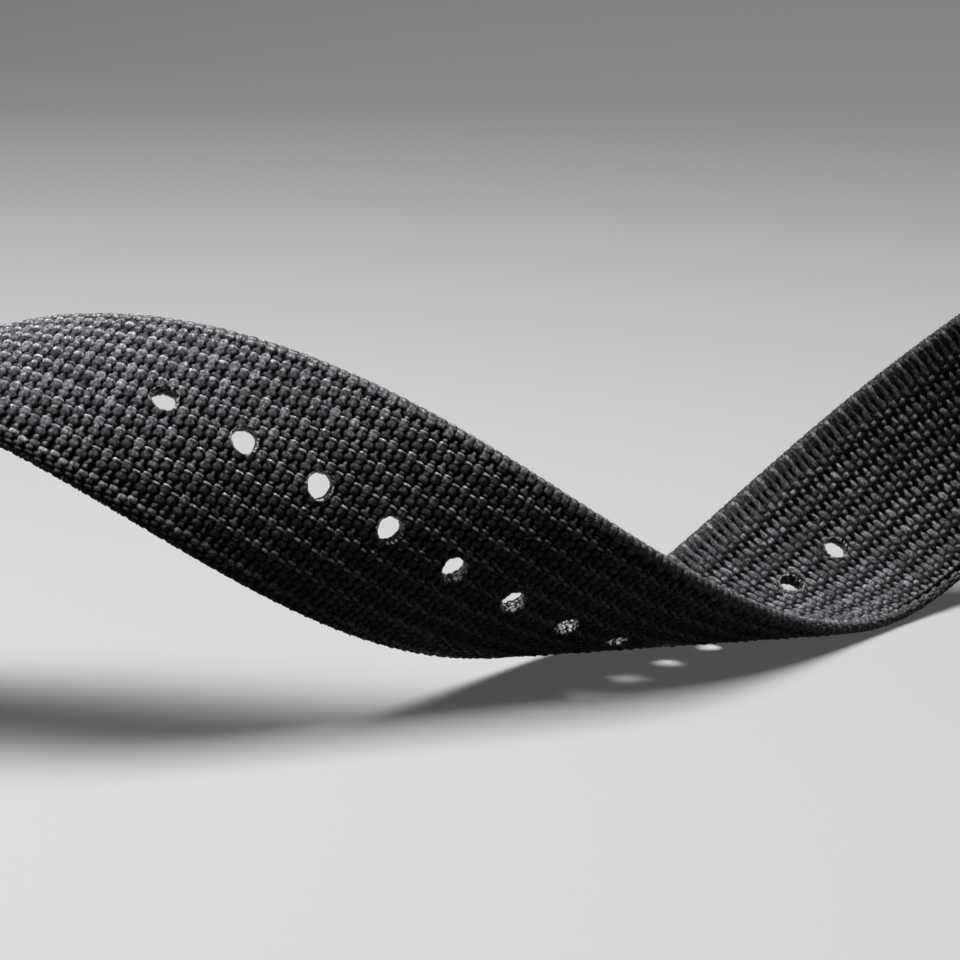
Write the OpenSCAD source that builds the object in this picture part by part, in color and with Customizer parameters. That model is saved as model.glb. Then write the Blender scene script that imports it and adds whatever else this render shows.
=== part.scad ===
// NATO watch strap: a long woven strap folded round the buckle bar, a short strap welded
// under it, and the round-wire steel fittings that both carry. Millimetres, +Z up.
// The buckle end lies flat along X; the free end lifts off the table and curls over.

/* [Webbing] */
// Width of the woven strap
web_width = 20; // [16:0.5:24]
// Thickness of the woven strap
web_thick = 1.25; // [1.0:0.05:1.4]
// Buckle bar to the tip of the long strap, along the strap
strap_length = 280; // [270:1:285]
// Radius of the heat-cut tip
tip_radius = 12; // [11:0.5:18]
// Air between two layers that lie on each other
layer_gap = 0.1; // [0.05:0.01:0.12]

/* [Strap holes] */
// Number of punched holes
hole_count = 13; // [6:1:14]
// Hole to hole, along the strap
hole_pitch = 7; // [6:0.25:7.5]
// Tip to the first hole
first_hole = 35; // [30:1:45]
// Diameter of a punched hole
hole_dia = 2.1; // [1.8:0.05:2.4]

/* [Layers at the buckle] */
// Gap between the bar and the strap folded round it
fold_gap = 0.15; // [0.12:0.01:0.2]
// Gap between a loop's lower bar and the webbing bent under it
bend_gap = 0.175; // [0.15:0.005:0.25]
// Gap above and below a keeper's bar in its pocket, on average
pocket_gap = 0.15; // [0.12:0.01:0.17]
// Buckle bar to the first keeper
near_keeper_x = 11; // [10:0.5:12]
// Buckle bar to the second keeper
far_keeper_x = 24; // [22:0.5:25]
// Buckle bar to the end of the folded tail
tail_end_x = 37; // [35:0.5:40]
// Buckle bar to the start of the short strap
short_start_x = 29.5; // [29:0.5:31]
// Buckle bar to the ring at the end of the short strap
ring_x = 82; // [76:0.5:83]
// Length of short strap folded back over the ring's lower bar
fold_back = 12; // [10:0.5:16]
// Length of each heat-welded patch along the strap
weld_length = 4; // [3:0.25:4.5]
// Strap's edge to the end of each heat-welded patch
weld_margin = 1.5; // [1:0.25:4]
// End of the folded webbing to the middle of its welded patch
weld_inset = 3.5; // [2.5:0.25:4]

/* [Keepers and ring] */
// Wire radius of the three steel loops
wire_r = 0.8; // [0.7:0.05:0.85]
// Gap between the strap's edge and a loop, on each side
loop_clear = 0.6; // [0.4:0.05:1]
// Clear height inside a loop
loop_height = 5.6; // [5.4:0.1:6.5]
// Radius of a loop's corners, at the middle of the wire
loop_corner = 2; // [1.8:0.1:3]

/* [Buckle] */
// Wire radius of the buckle frame
frame_r = 1.3; // [1.1:0.05:1.5]
// Gap between the strap's edge and the frame, on each side
frame_clear = 0.5; // [0.4:0.05:1]
// Bar to the middle of the front bar
frame_reach = 11.5; // [10:0.5:13]
// Corner radius of the frame, at the middle of the wire
frame_corner = 3.6; // [3:0.1:4.5]
// Radius of the round lug at each end of the bar
lug_r = 2.2; // [2:0.05:2.3]
// Depth of the blind bore in each lug
bore_depth = 1.7; // [1.5:0.1:1.9]
// Wire radius of the tang
tang_r = 0.75; // [0.6:0.05:0.8]
// Running clearance of the tang's loop on the tube
tang_clear = 0.06; // [0.03:0.01:0.1]
// Clearance of the tang in the front bar's notch
notch_clear = 0.02; // [0.01:0.01:0.1]
// Bar to the end of the tang
tang_reach = 14; // [13:0.5:15]
// Width of the slot in the strap that lets the tang through
tang_slot = 2.3; // [2:0.1:3]
// How far that slot runs back from the bar
slot_back = 3.6; // [3.2:0.1:5]

/* [Spring bar] */
// Outer radius of the tube
tube_r = 0.9; // [0.8:0.05:0.95]
// Inner radius of the tube
tube_bore = 0.68; // [0.66:0.01:0.72]
// Gap between each end of the tube and its lug
tube_gap = 0.3; // [0.2:0.05:0.4]
// Length of each of the tube's two rolled-in mouths
mouth = 0.6; // [0.4:0.05:0.8]
// Radius of a pin's tip
pin_r = 0.5; // [0.4:0.05:0.55]
// Radius of a pin's head, inside the tube
head_r = 0.63; // [0.6:0.01:0.65]
// Length of that head
head_length = 1.1; // [0.8:0.1:1.5]
// Radial clearance of the pin, in the tube's mouth and in the lug
pin_clear = 0.05; // [0.02:0.01:0.08]
// Gap between a pin's head and the tube's mouth
head_gap = 0.05; // [0.02:0.01:0.1]
// Depth to which a pin enters its lug
pin_depth = 1.55; // [1.2:0.05:1.6]
// Wire radius of the coil spring
coil_r = 0.1; // [0.08:0.01:0.12]
// Gap between each end of the spring and its pin's head
spring_gap = 0.02; // [0.01:0.01:0.05]
// Turns of the coil spring
coil_turns = 15; // [10:1:20]

/* [Curl of the free end] */
// Where the strap leaves the table, from the bar
lift_start = 88; // [86:1:96]
// Flat stretch kept before it
run_in = 8; // [6:1:10]
// Length of one step along the curl
curl_step = 10; // [9:0.5:11]
// Degrees it bends upward in a step while it lifts
lift_angle = 25; // [20:0.5:26]
// Degrees it bends in a step over the shoulder
shoulder_angle = 25.5; // [20:0.5:28]
// Degrees it bends in a step of the long curl
curl_angle = 11; // [9:0.5:14]
// Lean of the bend lines in the curl: along the strap for each unit across it
lean_ratio = 1.6; // [1:0.05:1.8]
// Degrees it bends in a step where it rises from the table again
rise_angle = 17; // [15:0.5:20]
// Degrees it bends in a step at the tip
tip_angle = 5.5; // [2:0.5:10]

/* [Hidden] */
$fn = 40;
eps = 0.01;
web_black = [0.06, 0.06, 0.065];
steel = [0.74, 0.75, 0.76];

// what the gaps make of the webbing's and the wires' sizes, radii at the middle of the webbing
fold_radius = tube_r + fold_gap + web_thick / 2;
bend_radius = wire_r + bend_gap + web_thick / 2;
pocket_dip = 2 * (wire_r + pocket_gap) - layer_gap;
weld_width = web_width - 2 * weld_margin;
loop_width = web_width + 2 * loop_clear;
frame_width = web_width + 2 * frame_clear;
tube_length = frame_width - 2 * tube_gap;
head_end = tube_length / 2 - mouth - head_gap;

// heights of the layers, each at the middle of the webbing
layer = web_thick + layer_gap;
ring_z = bend_radius + web_thick / 2;
short_back_z = ring_z + bend_radius;
short_z = short_back_z - layer;
main_z = short_back_z + layer;
tail_z = main_z - layer;
bar_z = main_z - fold_radius;
keeper_z = tail_z - pocket_dip + bend_radius;

// turning angles of the small bends
neck = acos(1 - (2 * fold_radius - layer) / (fold_radius + bend_radius));
dip = acos(1 - pocket_dip / (2 * bend_radius));
ring_dip = acos(1 - (short_z - ring_z + bend_radius) / (2 * bend_radius));

// the buckle leans until its front bar meets the table
lean = asin((bar_z - frame_r) / frame_reach);
tang_offset = tube_r + tang_clear + tang_r;
rail_y = frame_width / 2 + frame_r;
leg_y = loop_width / 2 + wire_r;
loop_span = loop_height + 2 * wire_r;

// steps from the lift, degrees of bend in a step there
bends = [[0, 0], [1, -lift_angle], [2, 2 - lift_angle], [3, -2.5], [4, shoulder_angle - 6.5],
         [5, shoulder_angle], [6.2, shoulder_angle - 7.5], [7.7, curl_angle + 4],
         [9.7, curl_angle - 0.5], [11.7, curl_angle - 1.5], [13.7, rise_angle - 5],
         [15.7, rise_angle], [17.4, rise_angle - 5], [19.2, tip_angle]];
// steps from the lift, lean of the bend line there
leans = [[-0.8, 0], [0, 0.15], [4, 0.15], [5, lean_ratio / 4], [6.2, lean_ratio - 0.65],
         [7.7, lean_ratio - 0.15], [9.7, lean_ratio - 0.05], [11.7, lean_ratio],
         [13.7, lean_ratio - 0.1], [15.7, lean_ratio - 0.4], [17.4, lean_ratio - 0.75],
         [19.2, lean_ratio - 0.7]];
function bend_at(s) = lookup((s - lift_start) / curl_step, bends) / curl_step;
function lean_at(s) = lookup((s - lift_start) / curl_step, leans);

// turn v by w degrees about the unit axis a
function turned(v, a, w) = v * cos(w) + cross(a, v) * sin(w) + a * (a * v) * (1 - cos(w));

// d further along from s: [centre, along, inward normal, across]
function onward(f, s, d) =
    let (l = lean_at(s + d / 2), m = norm([l, 1]), a = (l * f[1] + f[3]) / m,
         w = bend_at(s + d / 2) * d * m)
    [f[0] + d * turned(f[1], a, w / 2), turned(f[1], a, w), turned(f[2], a, w), turned(f[3], a, w)];

flat_end = lift_start - run_in;
last_s = floor(strap_length - tip_radius + tip_radius * norm([1, lean_at(strap_length)])) - 1;
frames = [for (s = flat_end, f = [[s, 0, main_z], [1, 0, 0], [0, 0, -1], [0, 1, 0]];
               s <= last_s; f = onward(f, s, 1), s = s + 1) [s, f]];
function frame_at(s) = let (f = frames[floor(s - flat_end)]) onward(f[1], f[0], s - f[0]);

// where the bend line at s meets the rounded tip; side is 1 or -1
function tip_cut(s, side) =
    let (l = lean_at(s), q = s - strap_length + tip_radius, m = 1 + l * l,
         r = pow(l * q, 2) - m * (q * q - tip_radius * tip_radius), h = web_width / 2)
    r <= 0 ? side * h :
    let (v = (-l * q + side * sqrt(r)) / m)
    s + side * h * l < strap_length - tip_radius ? side * h : max(-h, min(h, v));

// eight points round the webbing: centre c, bend line d, outer normal n, from v0 to v1
function section(c, d, n, v0, v1) =
    let (h = web_thick / 2, k = web_thick / 4, e = 0.3)
    [c + v0 * d - k * n, c + (v0 + e) * d - h * n, c + (v1 - e) * d - h * n, c + v1 * d - k * n,
     c + v1 * d + k * n, c + (v1 - e) * d + h * n, c + (v0 + e) * d + h * n, c + v0 * d + k * n];

// rings along the curl, every third millimetre, and every one at the rounded tip
curl_rings = [for (i = [0 : len(frames) - 1]) if (i % 3 == 0 || frames[i][0] > strap_length - tip_radius - 2)
    let (s = frames[i][0], f = frames[i][1])
    section(f[0], f[3] + lean_at(s) * f[1], -f[2], tip_cut(s, -1), tip_cut(s, 1))];

// a flat path of [length, turn] moves, as [x, z, heading] stops no more than 20 degrees apart
function stops(moves, i = 0, p = [0, 0, 0]) =
    i >= len(moves) ? [] :
    let (n = max(1, ceil(abs(moves[i][1]) / 20)), c = pieces(moves[i][0] / n, moves[i][1] / n, n, p))
    concat(c, stops(moves, i + 1, c[n - 1]));
function pieces(l, t, n, p) =
    let (q = [p[0] + chord(l, t) * cos(p[2] + t / 2), p[1] + chord(l, t) * sin(p[2] + t / 2), p[2] + t])
    n == 1 ? [q] : concat([q], pieces(l, t, n - 1, q));
function chord(l, t) = abs(t) < eps ? l : l / (t * PI / 180) * 2 * sin(t / 2);
function arc(r, t) = [r * abs(t) * PI / 180, t];

pocket = [arc(bend_radius, -dip), arc(bend_radius, 2 * dip), arc(bend_radius, -dip)];
pocket_half = 2 * bend_radius * sin(dip);
neck_x = (fold_radius + bend_radius) * sin(neck);

// backwards from the flat run: round the bar, then under the strap to the end of the tail
long_path = concat(
    [[flat_end, 0], arc(fold_radius, 180 + neck), arc(bend_radius, -neck),
     [near_keeper_x - pocket_half - neck_x, 0]], pocket,
    [[far_keeper_x - near_keeper_x - 2 * pocket_half, 0]], pocket,
    [[tail_end_x - far_keeper_x - pocket_half, 0]]);
fold_stops = stops(long_path, 0, [flat_end, main_z, 180]);

// the short strap: out to the ring, round its lower bar and back over itself
short_path = [[ring_x - 2 * bend_radius * sin(ring_dip) - short_start_x, 0],
    arc(bend_radius, -ring_dip), arc(bend_radius, 180 + ring_dip), [fold_back, 0]];
short_stops = concat([[short_start_x, short_z, 0]],
    stops(short_path, 0, [short_start_x, short_z, 0]));

function flat_ring(p, up) = section([p[0], 0, p[1]], [0, 1, 0],
    up * [-sin(p[2]), 0, cos(p[2])], -web_width / 2, web_width / 2);

// skin a list of eight-point rings
module band(rings) {
    n = len(rings);
    polyhedron(points = [for (r = rings) each r], convexity = 12, faces = concat(
        [[for (j = [0 : 7]) j]], [[for (j = [7 : -1 : 0]) (n - 1) * 8 + j]],
        [for (i = [0 : n - 2], j = [0 : 7]) let (a = i * 8 + j, b = i * 8 + (j + 1) % 8)
            each [[a, a + 8, b + 8], [a, b + 8, b]]]));
}

// a heat-welded patch that joins the layer below z to the layer above it
module weld(x, z, up = 0.2) {
    translate([x - weld_length / 2, -weld_width / 2, z - layer_gap / 2 - 0.2])
        cube([weld_length, weld_width, 0.2 + layer_gap / 2 + up]);
}

// the long strap, its fold round the bar and its tail, with the holes punched through
module long_strap() {
    tail = [for (i = [len(fold_stops) - 1 : -1 : 0]) flat_ring(fold_stops[i], -1)];
    color(web_black) difference() {
        union() {
            band(concat(tail, curl_rings));
            weld((near_keeper_x + far_keeper_x) / 2, main_z - layer / 2, layer_gap / 2 + 0.2);
            weld(tail_end_x - weld_inset, main_z - layer / 2, layer_gap / 2 + 0.2);
        }
        for (i = [0 : hole_count - 1]) {
            f = frame_at(strap_length - first_hole - i * hole_pitch);
            multmatrix([[f[1][0], f[3][0], -f[2][0], f[0][0]], [f[1][1], f[3][1], -f[2][1], f[0][1]],
                        [f[1][2], f[3][2], -f[2][2], f[0][2]], [0, 0, 0, 1]])
                cylinder(d = hole_dia, h = 3 * web_thick, center = true, $fn = 18);
        }
        translate([-5, -tang_slot / 2, bar_z - fold_radius - web_thick])
            cube([5 + slot_back, tang_slot, main_z + web_thick]);
    }
}

// the short strap, welded under the tail and folded round the ring's lower bar
module short_strap() {
    color(web_black) union() {
        band([for (p = short_stops) flat_ring(p, 1)]);
        weld(ring_x - fold_back + weld_inset, short_z + layer / 2, layer_gap / 2 + 0.2);
        weld(tail_end_x - weld_inset, short_z + layer / 2, layer_gap / 2 - 0.02);
    }
}

// a closed loop of round wire standing on its lower bar, which lies along Y through the origin
module wire_loop() {
    straight = 2 * (leg_y - loop_corner);
    tall = loop_span - 2 * loop_corner;
    for (z = [0, loop_span]) translate([0, 0, z]) rotate([90, 0, 0])
        cylinder(r = wire_r, h = straight, center = true);
    for (y = [-leg_y, leg_y]) translate([0, y, loop_corner]) cylinder(r = wire_r, h = tall);
    for (q = [[1, 0], [1, 1], [-1, 1], [-1, 0]])
        translate([0, q[0] * (leg_y - loop_corner), loop_corner + q[1] * tall])
            rotate([0, 90, 0]) rotate([0, 0, q[0] > 0 ? (q[1] > 0 ? 90 : 0) : (q[1] > 0 ? 180 : 270)])
                rotate_extrude(angle = 90) translate([loop_corner, 0]) circle(r = wire_r);
}

module keeper_near() { color(steel) translate([near_keeper_x, 0, keeper_z]) wire_loop(); }

module keeper_far() { color(steel) translate([far_keeper_x, 0, keeper_z]) wire_loop(); }

module strap_ring() { color(steel) translate([ring_x, 0, ring_z]) wire_loop(); }

// the buckle frame: front bar, two corners, two rails and a bored lug at each end of the bar
module buckle_frame() {
    rail = frame_reach - frame_corner;
    color(steel) translate([0, 0, bar_z]) rotate([0, -lean, 0]) difference() {
        union() {
            translate([-frame_reach, 0, 0]) rotate([90, 0, 0])
                cylinder(r = frame_r, h = 2 * (rail_y - frame_corner), center = true);
            for (m = [-1, 1]) {
                translate([-rail, m * rail_y, 0]) rotate([0, 90, 0]) cylinder(r = frame_r, h = rail);
                translate([-rail, m * (rail_y - frame_corner), 0]) rotate([0, 0, m > 0 ? 90 : 180])
                    rotate_extrude(angle = 90) translate([frame_corner, 0]) circle(r = frame_r);
                translate([0, m * rail_y, 0]) rotate([90, 0, 0])
                    cylinder(r = lug_r, h = 2 * frame_r, center = true);
            }
        }
        for (m = [-1, 1]) translate([0, m * (frame_width / 2 + bore_depth / 2 - 0.5), 0])
            rotate([90, 0, 0]) cylinder(r = pin_r + pin_clear, h = bore_depth + 1, center = true);
        translate([-frame_reach - 3, 0, tang_offset]) rotate([0, 90, 0])
            cylinder(r = tang_r + notch_clear, h = 6);
    }
}

// the tang: a wire loop round the bar and a straight finger that rests in the front bar's notch
module tang() {
    color(steel) translate([0, 0, bar_z]) rotate([0, -lean, 0]) {
        rotate([90, 0, 0]) rotate([0, 0, 90]) rotate_extrude(angle = 300)
            translate([tang_offset, 0]) circle(r = tang_r);
        translate([-tang_reach + tang_r, 0, tang_offset]) {
            rotate([0, 90, 0]) cylinder(r = tang_r, h = tang_reach - tang_r);
            sphere(r = tang_r);
        }
    }
}

// the spring bar's tube, with its two mouths rolled in round the pins
module spring_bar_tube() {
    color(steel) translate([0, 0, bar_z]) rotate([90, 0, 0]) difference() {
        cylinder(r = tube_r, h = tube_length, center = true);
        cylinder(r = pin_r + pin_clear, h = tube_length + 1, center = true);
        cylinder(r = tube_bore, h = tube_length - 2 * mouth, center = true);
    }
}

// one pin: a tip that stands in the lug and a head kept inside the tube
module pin(side) {
    color(steel) translate([0, 0, bar_z]) rotate([-90 * side, 0, 0]) {
        translate([0, 0, head_end - head_length]) cylinder(r = head_r, h = head_length);
        translate([0, 0, head_end - eps])
            cylinder(r = pin_r, h = frame_width / 2 + pin_depth - head_end + eps);
    }
}

module spring_bar_pin_left() { pin(-1); }

module spring_bar_pin_right() { pin(1); }

// the coil spring between the two heads
module spring_bar_spring() {
    span = 2 * (head_end - head_length - coil_r - spring_gap);
    rad = head_r - coil_r;
    n = coil_turns * 9;
    ring = [for (i = [0 : n]) let (a = i * 40, y = span * (i / n - 0.5)) [for (j = [0 : 4])
        let (r = rad + coil_r * cos(j * 72)) [r * cos(a), y + coil_r * sin(j * 72), r * sin(a)]]];
    color(steel) translate([0, 0, bar_z]) polyhedron(points = [for (r = ring) each r],
        convexity = 30, faces = concat([[0, 1, 2, 3, 4]], [[for (j = [4 : -1 : 0]) n * 5 + j]],
        [for (i = [0 : n - 1], j = [0 : 4]) let (p = i * 5 + j, q = i * 5 + (j + 1) % 5)
            each [[p, p + 5, q + 5], [p, q + 5, q]]]));
}

// the origin lies under the middle of the whole part, from the tang's tip to the curl's far edges
curl_points = [for (r = curl_rings) each r];
tang_tip = tang_reach * cos(lean) + tang_offset * sin(lean);
centre_x = (max([for (p = curl_points) p[0]]) - tang_tip) / 2;
centre_y = (max([for (p = curl_points) p[1]]) - rail_y - frame_r) / 2;
module placed() { translate([-centre_x, -centre_y, 0]) children(); }

placed() long_strap();
placed() short_strap();
placed() buckle_frame();
placed() tang();
placed() spring_bar_tube();
placed() spring_bar_pin_left();
placed() spring_bar_pin_right();
placed() spring_bar_spring();
placed() keeper_near();
placed() keeper_far();
placed() strap_ring();
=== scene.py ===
import math
import bmesh
import bpy
import numpy as np
from mathutils import Matrix, Vector


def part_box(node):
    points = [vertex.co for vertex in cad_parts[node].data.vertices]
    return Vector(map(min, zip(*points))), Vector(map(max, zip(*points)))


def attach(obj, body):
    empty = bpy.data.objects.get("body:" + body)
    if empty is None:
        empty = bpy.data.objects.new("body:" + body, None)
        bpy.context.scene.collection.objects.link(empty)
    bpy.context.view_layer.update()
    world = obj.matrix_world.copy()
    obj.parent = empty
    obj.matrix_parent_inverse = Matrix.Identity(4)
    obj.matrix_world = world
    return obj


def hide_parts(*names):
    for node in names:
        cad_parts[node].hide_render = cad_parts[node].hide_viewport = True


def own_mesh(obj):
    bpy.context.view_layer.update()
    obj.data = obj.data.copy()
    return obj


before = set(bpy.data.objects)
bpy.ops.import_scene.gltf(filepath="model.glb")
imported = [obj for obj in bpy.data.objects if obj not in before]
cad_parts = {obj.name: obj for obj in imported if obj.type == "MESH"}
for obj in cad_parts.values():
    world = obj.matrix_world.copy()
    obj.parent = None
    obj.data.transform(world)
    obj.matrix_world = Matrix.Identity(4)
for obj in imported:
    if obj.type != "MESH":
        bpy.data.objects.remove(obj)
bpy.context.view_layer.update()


# Long strap, woven.
# The real piece is one length of coarse black nylon webbing, 20 mm wide and 1.25 mm thick.
# It comes off the loom flat, with round knuckles on its outer face and long floats inside.

mm = 0.001
bar_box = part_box("spring_bar_tube")
bar_x = (bar_box[0][0] + bar_box[1][0]) / 2
bar_y = (bar_box[0][1] + bar_box[1][1]) / 2

# The flat webbing in millimetres: u along it from the bar, v across it, w out of its outer face.
pick_pitch = 0.875
end_repeat = 2.04
half_width = 10.0
half_thick = 0.56
edge_centre = half_width - half_thick
edge_turn = half_thick * math.pi
ground_depth = 0.27
thread_height = 0.36
hole_radius = 1.05
hole_pitch = 7
hole_count = 13
last_hole = 245
holes = [last_hole - hole_pitch * count for count in range(hole_count)]
slot_middle = -3.04
slot_half = 6.64
slot_half_width = 1.15
slot_end_half = 0.65
slot_corner = 0.5

# Every thread differs a little, so each kind of difference has its own table of chances.
table_side = 61
chance = np.random.default_rng(11).random((8, table_side, table_side))
kinds = ["shift", "height", "shine", "glint", "drift", "edge_height", "sway"]


def lot(kind, i, j):
    """A fixed random number from 0 to 1 for pick i and row j."""
    i = np.mod(i, table_side).astype(int)
    j = np.mod(j, table_side).astype(int)
    return chance[kinds.index(kind), i, j]


def smooth_step(x, low, high):
    """0 below low, 1 above high, and an even curve between them."""
    t = np.clip((x - low) / (high - low), 0, 1)
    return t * t * (3 - 2 * t)


def lump(du, dv, long, wide, high, sharp=0.5, corner=2.0):
    """Height of one rounded knuckle, which is nought outside its own outline."""
    inside = np.clip(1 - np.abs(du / long) ** corner - np.abs(dv / wide) ** corner, 0, 1)
    return high * inside ** sharp


def bare(u, level=0.0):
    """The ground of the weave: highest thread, next highest and shine, a painted highlight, at each place.
    """
    return np.full_like(u, level), np.zeros_like(u), np.zeros_like(u)


def lay(cloth, part, shine):
    """Lays one more thread over those below it, with its own shine, a painted highlight, or dullness below
    nought.
    """
    high, second, glow = cloth
    glow = np.where(part > high, shine, glow)
    return np.maximum(high, part), np.maximum(second, np.minimum(high, part)), glow


def nearest_pick(u, v, hop):
    """Which pick of the weft lies here, counted on by hop, and how far off its middle is."""
    place = (u - 0.05 * (v + 0.4)) / pick_pitch
    pick = np.floor(place + 0.5) + hop
    return pick, (place - pick) * pick_pitch


def across(v, first):
    """The nearest of the repeats that start at first, and how far off its middle is."""
    row = np.floor((v - first) / end_repeat + 0.5)
    return row, v - first - row * end_repeat


def outer_weave(u, v):
    """Square, round, flat and forked knuckles of the weft, under thin bars of the warp."""
    cloth = bare(u)
    for hop in (-1, 0, 1):
        pick, du = nearest_pick(u, v, hop)
        even = np.mod(pick, 2) == 0
        du = du + 0.05 * (lot("shift", pick, pick) - 0.5)

        # Every second pick: a square knuckle under its hat, a short bar, a flat knuckle, a dot. The hat
        # carries a strong painted highlight.
        row, dv = across(v, -0.49)
        high = 0.94 + 0.1 * lot("height", pick, row)
        square = lump(du, dv, long=0.46, wide=0.34, high=high, sharp=0.28, corner=3.0)
        cloth = lay(cloth, np.where(even, square, 0), 0.35 * lot("shine", pick, row) - 0.05)
        row, dv = across(v, -0.11)
        hat = lump(du, dv + 0.45 * du ** 2, long=0.44, wide=0.12, high=1.24, sharp=0.4, corner=2.5)
        cloth = lay(cloth, np.where(even, hat, 0), 0.6 + 0.4 * lot("glint", pick, row))
        row, dv = across(v, -0.90)
        bar = lump(du, dv, long=0.36, wide=0.09, high=0.95, sharp=0.4)
        cloth = lay(cloth, np.where(even, bar, 0), 0.4 + 0.3 * lot("glint", pick, row))
        row, dv = across(v, -1.37)
        high = 0.88 + 0.08 * lot("height", pick, row)
        flat = lump(du, dv, long=0.51, wide=0.36, high=high, sharp=0.36, corner=2.4)
        cloth = lay(cloth, np.where(even, flat, 0), 0.40 * lot("shine", pick, row) - 0.25)
        row, dv = across(v, -1.86)
        dot = lump(du, dv, long=0.25, wide=0.22, high=0.92, sharp=0.4)
        cloth = lay(cloth, np.where(even, dot, 0), 0.20)

        # The picks between: a dash of the warp made bright by a painted highlight, a round knuckle and a
        # forked one.
        row, dv = across(v, -0.44)
        dash = lump(du, dv, long=0.45, wide=0.13, high=1.22, sharp=0.4, corner=2.5)
        cloth = lay(cloth, np.where(even, 0, dash), 0.8 + 0.2 * lot("glint", pick, row))
        row, dv = across(v, -0.96)
        high = 0.96 + 0.1 * lot("height", pick, row)
        ball = lump(du, dv, long=0.45, wide=0.41, high=high, sharp=0.38, corner=2.2)
        cloth = lay(cloth, np.where(even, 0, ball), 0.40 * lot("shine", pick, row) - 0.32)
        row, dv = across(v, -1.66)
        stem = lump(du, dv, long=0.23, wide=0.34, high=0.94, sharp=0.4)
        arms = lump(du, dv + 0.34 + 0.15 * du, long=0.46, wide=0.23, high=0.96, sharp=0.3, corner=2.5)
        fork = np.maximum(stem, arms)
        cloth = lay(cloth, np.where(even, 0, fork), 0.40 * lot("shine", pick, row) - 0.15)
    return cloth


def inner_weave(u, v):
    """Drop-shaped floats that taper towards the lower edge, dots, long floats with a foot."""
    column_pitch = 2 * pick_pitch
    drop_column = 0.90
    float_column = 0.02
    steep = smooth_step(v, 0.0, 3.0)

    # The ground between the threads, with a pit on each side of every drop's tail.
    to_drop = np.abs(u - drop_column - column_pitch * np.floor((u - drop_column) / column_pitch + 0.5))
    row, dv = across(v, -1.72)
    pit = lump(to_drop - 0.42, dv, long=0.24, wide=0.52, high=1.0)
    level, second, glow = bare(u, 0.42)
    cloth = level * (1 - 0.9 * pit), second, glow

    for column, first in ((0, drop_column), (1, float_column)):
        i = np.floor((u - first) / column_pitch + 0.5)
        du = u - first - i * column_pitch + 0.06 * (lot("shift", i, i + column) - 0.5)
        for hop in (-1, 0, 1):
            row, dv = across(v, -1.1)
            row, dv = row + hop, dv - hop * end_repeat
            dv = dv + 0.06 * (lot("drift", i, row) - 0.5)
            rise = 0.95 + 0.1 * lot("height", i, row)
            shine = 0.05 + 0.30 * lot("shine", i, row)
            if column == 0:
                taper = np.clip(0.80 + 0.62 * (dv + 0.1), 0.34, 1.0) * (1 + 0.3 * steep)
                drop = lump(du + 0.04 * dv, dv + 0.28, long=0.34 * taper, wide=0.58, high=1.02 * rise,
                            sharp=0.30, corner=2.3)
                # Each drop's tail gets an extra painted highlight.
                cloth = lay(cloth, drop, shine + 0.3 * smooth_step(-dv, 0.45, 0.8))
                dot = lump(du - 0.03, dv - 0.63, long=0.33, wide=0.31 - 0.06 * steep, high=0.94 * rise,
                           sharp=0.30, corner=2.6)
                cloth = lay(cloth, dot, shine)
            else:
                body = lump(du - 0.16 * (dv - 0.15), dv - 0.12, long=0.31 + 0.06 * steep,
                            wide=0.70 - 0.08 * steep, high=1.05 * rise, sharp=0.32, corner=2.4)
                cloth = lay(cloth, body, shine)
                foot = lump(du - 0.03, dv + 0.84, long=0.25, wide=0.34, high=0.94 * rise, sharp=0.34)
                cloth = lay(cloth, foot, 0.15)
    return cloth


def swell(x, middle, wide):
    """A soft rise to 1 round the middle."""
    return np.exp(-((x - middle) / wide) ** 2)


def lower_ribs(u, arc):
    """Thin turns of the weft round the lower edge, every second one lower and dimmer, with less painted
    highlight.
    """
    place = (u - 0.90) / pick_pitch
    i = np.floor(place + 0.5)
    sway = 0.05 * np.sin(2.6 * arc + 6 * lot("sway", i, i)) + 0.06 * (lot("edge_height", i, i) - 0.5)
    du = (place - i) * pick_pitch + sway
    strong = np.mod(i, 2) == 0
    wide = 0.22 + 0.08 * smooth_step(arc, 2.7, 3.1) + 0.05 * swell(arc, 1.7, 0.35)
    rib = lump(du, 0 * u, long=np.where(strong, wide + 0.02, wide - 0.01), wide=1.0,
               high=np.where(strong, 1.0, 0.93), sharp=0.34)
    # The shine is a painted highlight, strongest at one place round the edge.
    shine = np.where(strong, 0.12 + 0.35 * swell(arc, 1.8, 0.35), 0.05)
    level, second, glow = bare(u, 0.47)
    level = level - 0.40 * swell(arc, 3.1, 0.35) + 0.36 * swell(arc, 1.0, 0.55)
    return lay((level, second, glow), rib, shine)


def upper_bars(u, arc):
    """Flattened bars where the weft turns round the upper edge, in steps of one pick."""
    cloth = bare(u)
    for hop in (-1, 0, 1):
        pick, du = nearest_pick(u, np.full_like(u, 9.4), hop)
        for row in range(5):
            shift = 0.06 * (lot("drift", pick, pick + row) - 0.5)
            dv = arc + 0.36 - 0.46 * row - 0.20 * np.mod(pick, 2) + shift
            high = 0.84 + 0.12 * lot("edge_height", pick, pick + row)
            bar = lump(du, dv, long=0.46, wide=0.25, high=high, sharp=0.28, corner=3.0)
            # Each bar is painted with a highlight along one long side.
            cloth = lay(cloth, bar, 0.1 + 0.6 * smooth_step(-dv, 0.02, 0.14))
    return cloth


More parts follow.
